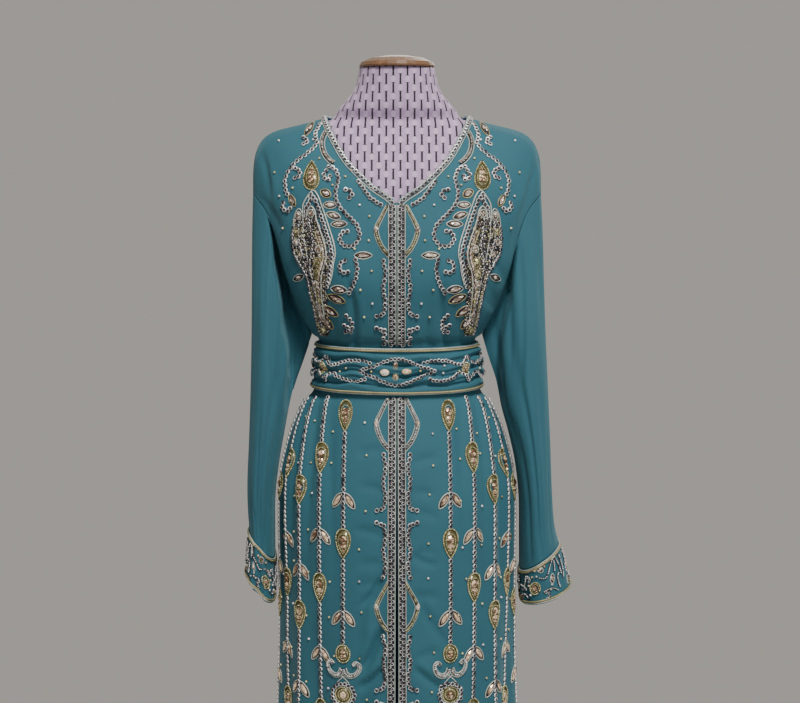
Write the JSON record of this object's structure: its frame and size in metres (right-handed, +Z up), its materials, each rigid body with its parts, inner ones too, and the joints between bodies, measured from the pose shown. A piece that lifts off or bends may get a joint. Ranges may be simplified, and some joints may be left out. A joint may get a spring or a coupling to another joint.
{
  "type": "moroccan kaftan on a limbless dress form",
  "caption": "Floor-length teal kaftan with long cuffed sleeves, beaded bands and a pleated belt, worn by a limbless dress form on a round stand.",
  "frame": {"origin": "centre of the underside of the stand's round base", "axes": "+Z up, the wearer faces -Y, +X towards the wearer's left"},
  "size_m": [0.4988, 0.3626, 1.5235],
  "materials": {
    "teal_georgette": "matt crepe georgette, lined",
    "gold_cord": "twisted metallic gold cord",
    "silver_beadwork": "silver-lined beads sewn close together",
    "form_cover": "woven cover with small dark dashes",
    "cap_wood": "turned and varnished",
    "stand_steel": "black paint"
  },
  "bodies": {
    "root": {"back": "teal_georgette", "bead_chain_1_left": "silver_beadwork", "bead_chain_1_right": "silver_beadwork", "bead_chain_2_left": "silver_beadwork", "bead_chain_2_right": "silver_beadwork", "bead_chain_3_left": "silver_beadwork", "bead_chain_3_right": "silver_beadwork", "belt": "teal_georgette", "belt_cord_foot": "gold_cord", "belt_cord_top": "gold_cord", "chest_work_left": "silver_beadwork", "chest_work_right": "silver_beadwork", "cuff_cord_foot_left": "gold_cord", "cuff_cord_foot_right": "gold_cord", "cuff_cord_top_left": "gold_cord", "cuff_cord_top_right": "gold_cord", "cuff_left": "teal_georgette", "cuff_right": "teal_georgette", "form_torso": "form_cover", "front_band_lower_left": "silver_beadwork", "front_band_lower_right": "silver_beadwork", "front_band_upper_left": "silver_beadwork", "front_band_upper_right": "silver_beadwork", "front_left": "teal_georgette", "front_right": "teal_georgette", "neck_band_back": "silver_beadwork", "neck_band_left": "silver_beadwork", "neck_band_right": "silver_beadwork", "neck_cap": "cap_wood", "sleeve_left": "teal_georgette", "sleeve_right": "teal_georgette", "stand_base": "stand_steel", "stand_pole": "stand_steel"}
  },
  "joints": []
}
